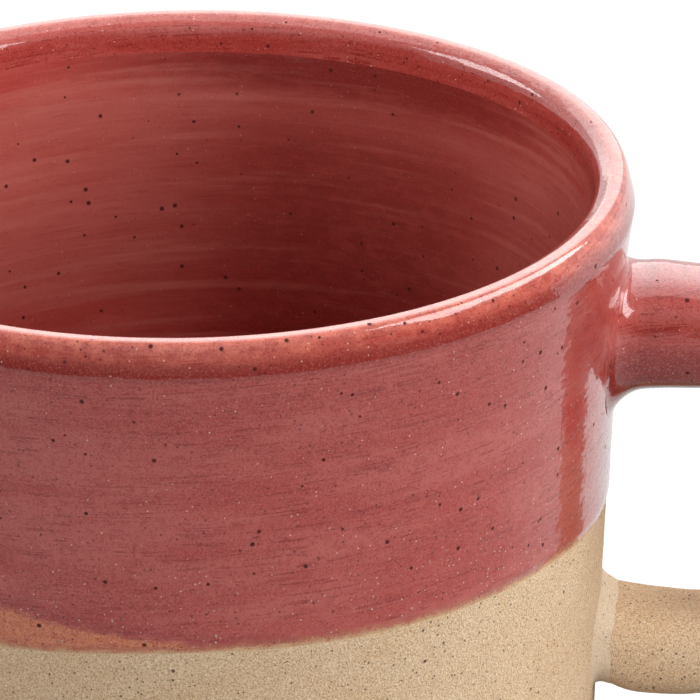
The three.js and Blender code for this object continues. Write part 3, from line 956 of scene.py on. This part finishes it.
def seamRings(root):
    radius = seam[root + "Hollow"]
    rings = []
    for distance in hollowDistances(seam, radius):
        length = seamLength(root, distance)
        centre = onHandle(length)
        hollow = hollowOutset(max(distance, 0.0), radius)
        end = easeBetween(*(radius + part for part in seam["endFade"]), distance)
        ring = handleRing(length, 0)
        for index, point in enumerate(ring):
            away = Vector((0, point.y - centre.y, point.z - centre.z)).normalized()
            lump = seam["lump"] * wander(6, *point, seam["lumpSize"]) + seam["bead"]
            lump *= end * easeBetween(*seam["lumpRise"], distance)
            moved = point + away * (hollow + lump + seam["endSunk"] * (end - 1))
            moved.x = offWall(moved, distance)
            ring[index] = moved
        rings.append(ring)
    for distance in (radius + seam["innerPastHollow"], seam["start"]):
        ring = handleRing(seamLength(root, distance), -seam["sunk"])
        for point in ring:
            point.x = offWall(point, distance)
        rings.append(ring)
    return rings


for root in ("upper", "lower"):
    points, faces = skinRings(seamRings(root), True)
    makePiece(root + "_slip_seam", points, faces, joiningSlip, root + "_slip_joint")


# Glaze over the upper half of the handle, run into the wall's glaze through a hollow

handleCoat = {
    "coat": 0.17, "edge": 47.7, "edgeLength": 1.6, "edgeSunk": 0.04, "hidden": 0.2, "bandHeight": 0.9,
    "hollow": 2.9, "start": -0.02, "pastHollow": 0.9, "spacing": 1.8, "rows": 24, "blendFrom": 1.2,
    "bodyStart": 0.84, "bodySteps": 70, "backSteps": 80,
    "seamRidge": 0.05, "ridgePlace": 1.0, "ridgeWidth": 0.8, "ridgeLevel": 0.7, "ridgeLumpSize": 2.5,
    # Painted shade under the upper limb, and a paler band painted along its side as painted light
    "underShade": 0.8, "underRise": (66.6, 63.8), "underFade": (54.0, 58.0),
    "sideSheen": 0.8, "sideHeight": 67.8, "sideWidth": 1.1,
}
coatEdgeParts = (0.18, 0.35, 0.5, 0.62, 0.75, 0.88, 1.0)


# Length along the handle at which its outer stretch comes down to a height
def lengthAtHeight(height):
    near = 0.001
    low = handleLength / 4
    high = handleLength * 3 / 4
    while high - low > near:
        middle = (low + high) / 2
        if onHandle(middle).z > height:
            low = middle
        else:
            high = middle
    return low


# Rings of the hollow that runs from the wall's glaze onto the handle
def hollowRings():
    coat = handleCoat
    root = bar["upperRoot"]
    wallCoat = glazedRadius(0, root) - wallRadius(root)
    reach = coat["hollow"] + coat["pastHollow"]
    rings = []
    for distance in hollowDistances(coat, coat["hollow"]):
        length = max(distance, 0)
        centre = onHandle(length)
        hollow = hollowOutset(length, coat["hollow"])
        shift = easeBetween(coat["blendFrom"], reach, distance)
        ridge = coat["seamRidge"] * bellAt(distance, coat["ridgePlace"], coat["ridgeWidth"])
        ring = handleRing(length, 0)
        for index, point in enumerate(ring):
            away = Vector((0, point.y, point.z - centre.z)).normalized()
            lumpy = coat["ridgeLevel"] + wander(8, *point, coat["ridgeLumpSize"])
            moved = point + away * (hollow + coat["coat"] + ridge * lumpy)
            glazed = glazedRadius(math.asin(moved.y / wallRadius(moved.z)), moved.z)
            moved.x = math.sqrt(glazed ** 2 - moved.y ** 2) + distance
            moved.x = blendValue(moved.x, point.x + wallCoat * (1 - shift), shift)
            ring[index] = moved
        rings.append(ring)
    return rings


def coatRings():
    coat = handleCoat
    start = coat["hollow"] + coat["bodyStart"]
    end = lengthAtHeight(coat["edge"])
    thinning = end - coat["edgeLength"]
    rings = hollowRings()
    rings += [handleRing(length, coat["coat"]) for length in evenSteps(start, thinning, coat["bodySteps"])]
    for part in coatEdgeParts:
        outset = blendValue(-coat["edgeSunk"], coat["coat"], easeBetween(1, 0, part))
        rings.append(handleRing(blendValue(thinning, end, part), outset))
    backs = [end] + evenSteps(end, 0.0, coat["backSteps"])
    return rings + [handleRing(length, -coat["hidden"]) for length in backs]


# Painted shade along the underside of the upper limb, and a paler, dusty band along its side as painted light
def limbShade(height):
    coat = handleCoat
    under = coat["underShade"] * easeBetween(*coat["underRise"], height)
    under *= easeBetween(*coat["underFade"], height)
    return under - coat["sideSheen"] * bellAt(height, coat["sideHeight"], coat["sideWidth"])


points, faces = skinRings(coatRings(), True)
values = []
for _, _, z in points:
    fromEdge = z - handleCoat["edge"]
    values.append((fromEdge - handleCoat["bandHeight"], 0.0, fromEdge, limbShade(z)))
makePiece("handle_glaze_coat", points, faces, redGlaze, "handle_glaze", coatValues(values))


# Studio

studio = {
    "floorSize": 3.0, "floorSeen": 0.74, "floorMirrored": 0.55, "floorBounce": 0.10, "floorRoughness": 0.9,
    "world": 0.09, "lampAim": 0.05,
    "cardGrey": 0.03, "cardNear": 0.27, "cardFar": 0.6, "cardLift": 0.001, "cardHeights": (0.7, 0.2),
    "cardLowering": (40.0, 70.0), "cardFade": (140.0, 660.0), "cardSpread": (-70.0, 102.0), "cardSteps": 40,
}
# Azimuth, elevation, distance, size and power of each lamp
lamps = {
    "key": (92.0, 31.0, 1.0, (1.2, 0.5), 15.0),
    "front": (-5.0, 22.0, 1.3, (1.3, 0.8), 10.8),
    "left": (-105.0, 38.0, 1.1, (0.6, 0.5), 7.0),
    "back": (184.0, 47.0, 1.1, (1.0, 1.6), 8.5),
}


def lampAt(name, azimuth, elevation, distance, size, power):
    light = bpy.data.lights.new(name, "AREA")
    light.shape = "RECTANGLE"
    light.size, light.size_y = size
    light.energy = power
    holder = bpy.data.objects.new(name, light)
    turn = math.radians(azimuth)
    rise = math.radians(elevation)
    towards = Vector((math.sin(turn) * math.cos(rise), -math.cos(turn) * math.cos(rise), math.sin(rise)))
    holder.location = Vector((0, 0, studio["lampAim"])) + towards * distance
    holder.rotation_euler = towards.to_track_quat("Z", "Y").to_euler()
    holder.visible_camera = False
    bpy.context.collection.objects.link(holder)


def stageMesh(name, points, faces, material):
    mesh = bpy.data.meshes.new(name)
    mesh.from_pydata(points, [], faces)
    mesh.materials.append(material)
    thing = bpy.data.objects.new(name, mesh)
    bpy.context.collection.objects.link(thing)
    return thing


def greyColour(level):
    return (level, level, level, 1)


half = studio["floorSize"] / 2
paper, tree, shader = newMaterial("white paper")
rays = addNode(tree, "LightPath")
mirrored = doMath(tree, "MAXIMUM", rays.outputs["Is Glossy Ray"], rays.outputs["Is Transmission Ray"])
shade = mixColour(tree, mirrored, greyColour(studio["floorBounce"]), greyColour(studio["floorMirrored"]))
shade = mixColour(tree, rays.outputs["Is Camera Ray"], shade, greyColour(studio["floorSeen"]))
tree.links.new(shade, shader.inputs["Base Color"])
shader.inputs["Roughness"].default_value = studio["floorRoughness"]
corners = [(-half, -half, 0), (half, -half, 0), (half, half, 0), (-half, half, 0)]
stageMesh("floor", corners, [(0, 1, 2, 3)], paper)

# A dark card on the camera's side keeps the glaze under the lip deep in colour; only reflections see it
felt, tree, shader = newMaterial("dark felt")
shader.inputs["Base Color"].default_value = greyColour(studio["cardGrey"])
shader.inputs["Roughness"].default_value = 1.0
# Its felt glows more the higher it stands, white at the top: painted light that only reflections see
glow = remap(tree, heightInMm(tree), *studio["cardFade"])
tree.links.new(mixColour(tree, glow, greyColour(0), greyColour(1)), shader.inputs["Emission Color"])
shader.inputs["Emission Strength"].default_value = 1.0
cardPoints = []
for turn in [studio["cardSpread"][0]] + evenSteps(*studio["cardSpread"], studio["cardSteps"]):
    top = blendValue(*studio["cardHeights"], easeBetween(*studio["cardLowering"], turn))
    turn = math.radians(turn)
    for name, height in (("cardNear", studio["cardLift"]), ("cardFar", studio["cardLift"]), ("cardFar", top)):
        cardPoints.append((studio[name] * math.sin(turn), -studio[name] * math.cos(turn), height))
cardFaces = []
for first in range(0, 3 * studio["cardSteps"], 3):
    cardFaces += [(row, row + 3, row + 4, row + 1) for row in (first, first + 1)]
card = stageMesh("dark_card", cardPoints, cardFaces, felt)
card.visible_camera = False
card.visible_diffuse = False
card.visible_shadow = False
card.visible_transmission = False

for name, values in lamps.items():
    lampAt(name + "_softbox", *values)

world = bpy.data.worlds.new("studio")
bpy.context.scene.world = world
world.use_nodes = True
tree = world.node_tree
rays = addNode(tree, "LightPath")
seen = doMath(tree, "MAXIMUM", rays.outputs["Is Camera Ray"], rays.outputs["Is Glossy Ray"])
seen = doMath(tree, "MAXIMUM", seen, rays.outputs["Is Transmission Ray"])
background = tree.nodes["Background"]
background.inputs["Color"].default_value = (1, 1, 1, 1)
tree.links.new(remap(tree, seen, 0.0, 1.0, studio["world"], 1.0, False), background.inputs["Strength"])
print("studio lit")


# Camera, as the photograph was taken

photoCamera = {
    "elevation": 23.5, "turn": 2.0, "roll": -0.53, "distance": 860.0, "lens": 447.43,
    "target": (0.0, 0.0, 82.0), "offset": (16.2, -18.3), "sensor": 36.0, "clip": (0.01, 20.0),
}


def placeCamera():
    shot = photoCamera
    rise = math.radians(shot["elevation"])
    roll = math.radians(shot["roll"])
    right = Vector((1, 0, 0))
    forward = Vector((0, math.cos(rise), -math.sin(rise)))
    up = right.cross(forward)
    aside, above = shot["offset"]
    centre = Vector(shot["target"]) + right * aside + up * above - forward * shot["distance"]
    side = right * math.cos(roll) + up * math.sin(roll)
    top = up * math.cos(roll) - right * math.sin(roll)
    place = Matrix((side, top, -forward)).transposed().to_4x4()
    place.translation = centre * mm
    lens = bpy.data.cameras.new("photo camera")
    lens.lens = shot["lens"]
    lens.sensor_width = shot["sensor"]
    lens.clip_start, lens.clip_end = shot["clip"]
    camera = bpy.data.objects.new("photo camera", lens)
    camera.matrix_world = Matrix.Rotation(math.radians(shot["turn"]), 4, "Z") @ place
    bpy.context.collection.objects.link(camera)
    bpy.context.scene.camera = camera


placeCamera()
bpy.context.scene.view_settings.view_transform = "Standard"
